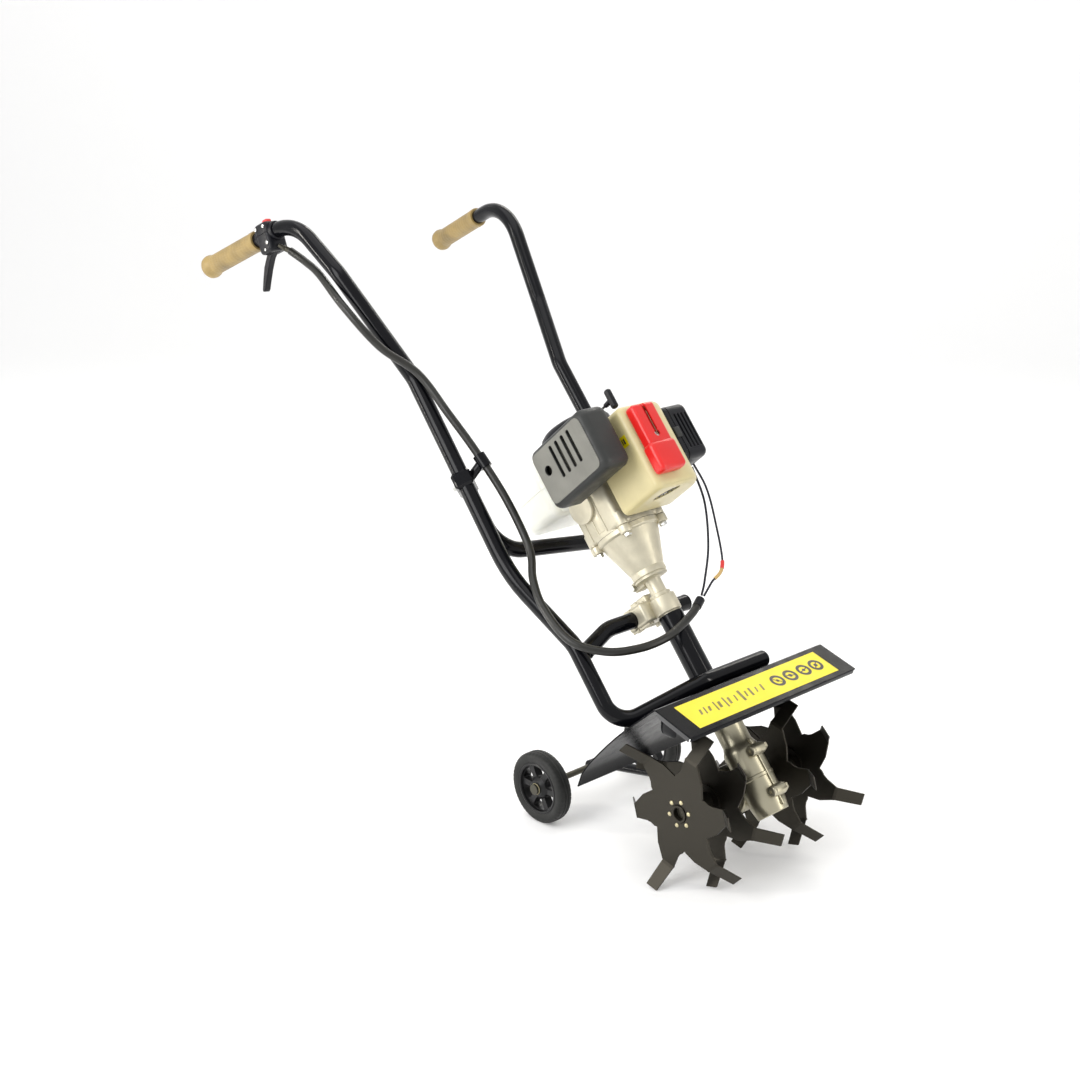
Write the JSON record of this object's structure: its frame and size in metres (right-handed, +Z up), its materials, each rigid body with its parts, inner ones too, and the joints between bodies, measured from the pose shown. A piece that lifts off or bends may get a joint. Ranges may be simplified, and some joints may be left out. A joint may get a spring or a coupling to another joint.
{
  "type": "tiller",
  "caption": "Walk-behind petrol mini tiller: bent-tube handles with grips, engine on a leaning drive tube, worm gearbox, bladed rotors, bent fender and rear transport wheels.",
  "frame": {"origin": "on the ground, at the middle of the machine's overall length and width, under the drive line's plane of symmetry", "axes": "+X forwards towards the tines, +Y to the machine's left as its user stands behind it, +Z up"},
  "size_m": [1.0994, 0.5272, 0.89],
  "materials": {
    "black_paint": "gloss black enamel",
    "black_plastic": "fine matt grain",
    "bright_steel": "zinc plated",
    "bronze": "machined bronze",
    "cast_aluminium": "bare die-cast",
    "cream_plastic": "cream moulded plastic",
    "dark_steel": "dark oiled steel",
    "gearbox_cast": "bare sand-cast",
    "grip_tan": "khaki soft grip",
    "guard_grey": "heat-resistant dark grey plastic",
    "red_plastic": "red moulded plastic",
    "rubber": "black rubber",
    "tank_white": "translucent white blow-moulded plastic",
    "tine_steel": "dark phosphated steel"
  },
  "bodies": {
    "chassis": {"air_cleaner": "black_plastic", "axle": "dark_steel", "axle_strut": "black_paint", "bell_bolt_1": "bright_steel", "bell_bolt_2": "bright_steel", "brace_end_plug": "black_plastic", "brace_tube": "black_paint", "cable_sheath": "rubber", "carburettor": "cast_aluminium", "clutch_bell": "cast_aluminium", "collar_bolt": "bright_steel", "crankcase": "cast_aluminium", "cross_clamp": "cast_aluminium", "cross_clamp_bolt": "bright_steel", "cross_clamp_cap": "cast_aluminium", "cylinder": "cast_aluminium", "cylinder_cover": "cream_plastic", "drive_tube": "black_paint", "fender": "black_paint", "fender_bolt_left": "bright_steel", "fender_bolt_right": "bright_steel", "fuel_tank": "tank_white", "gearbox_bolt_lower": "bright_steel", "gearbox_bolt_upper": "bright_steel", "gearbox_left": "gearbox_cast", "gearbox_right": "gearbox_cast", "handle_clamp": "black_paint", "handle_clamp_bolt": "bright_steel", "left_grip": "grip_tan", "left_handle_tube": "black_paint", "muffler": "dark_steel", "muffler_guard": "guard_grey", "plug_cover": "red_plastic", "right_grip": "grip_tan", "right_handle_tube": "black_paint", "spark_plug": "bright_steel", "starter_housing": "black_plastic", "stop_wire": "red_plastic", "throttle_cable": "rubber", "throttle_housing": "black_plastic"},
    "tines": {"tine_shaft": "dark_steel", "worm_wheel": "bronze", "hub_right": "tine_steel", "hub_left": "tine_steel", "rotor_right_outer": "tine_steel", "rotor_right_inner": "tine_steel", "rotor_left_inner": "tine_steel", "rotor_left_outer": "tine_steel"},
    "drive": {"drive_shaft": "bright_steel", "clutch_drum": "dark_steel", "worm": "dark_steel"},
    "crank": {"crankshaft": "dark_steel"},
    "wheel_right": {"tyre_right": "rubber", "rim_right": "black_plastic"},
    "wheel_left": {"tyre_left": "rubber", "rim_left": "black_plastic"},
    "trigger": {"throttle_trigger": "black_plastic"},
    "switch": {"stop_switch": "red_plastic"},
    "filler_cap": {"fuel_cap": "black_plastic"},
    "starter_pull": {"starter_grip": "black_plastic"}
  },
  "joints": [
    {"name": "tine_spin", "type": "hinge", "parent": "chassis", "child": "tines", "pos_m": [0.4271, 0, 0.121], "axis": [0, 1, 0], "continuous": true},
    {"name": "drive_spin", "type": "hinge", "parent": "chassis", "child": "drive", "pos_m": [0.271, 0, 0.369], "axis": [-0.6514, 0, 0.7587], "continuous": true},
    {"name": "crank_spin", "type": "hinge", "parent": "chassis", "child": "crank", "pos_m": [0.271, 0, 0.369], "axis": [-0.6514, 0, 0.7587], "continuous": true},
    {"name": "wheel_right_spin", "type": "hinge", "parent": "chassis", "child": "wheel_right", "pos_m": [0.1395, -0.123, 0.057], "axis": [0, 1, 0], "continuous": true},
    {"name": "wheel_left_spin", "type": "hinge", "parent": "chassis", "child": "wheel_left", "pos_m": [0.1395, 0.123, 0.057], "axis": [0, 1, 0], "continuous": true},
    {"name": "throttle_squeeze", "type": "hinge", "parent": "chassis", "child": "trigger", "pos_m": [-0.3766, -0.22606, 0.84085], "axis": [-0.0956, 0.9936, -0.0604], "range_deg": [0, 18], "stiffness_Nm_per_rad": 0.4, "springref_deg": -14.32},
    {"name": "stop_slide", "type": "slide", "parent": "chassis", "child": "switch", "axis": [-0.9086, -0.1119, -0.4024], "range_m": [0, 0.004]},
    {"name": "cap_turn", "type": "hinge", "parent": "chassis", "child": "filler_cap", "pos_m": [0.00483, 0.09, 0.49633], "axis": [0, 1, 0], "continuous": true},
    {"name": "starter_draw", "type": "slide", "parent": "chassis", "child": "starter_pull", "axis": [0.7587, 0, 0.6514], "range_m": [0, 0.15], "stiffness_N_per_m": 40, "springref_m": -0.1}
  ],
  "couplings": [
    {"joint": "drive_spin", "follows": "tine_spin", "ratio": 34}
  ]
}
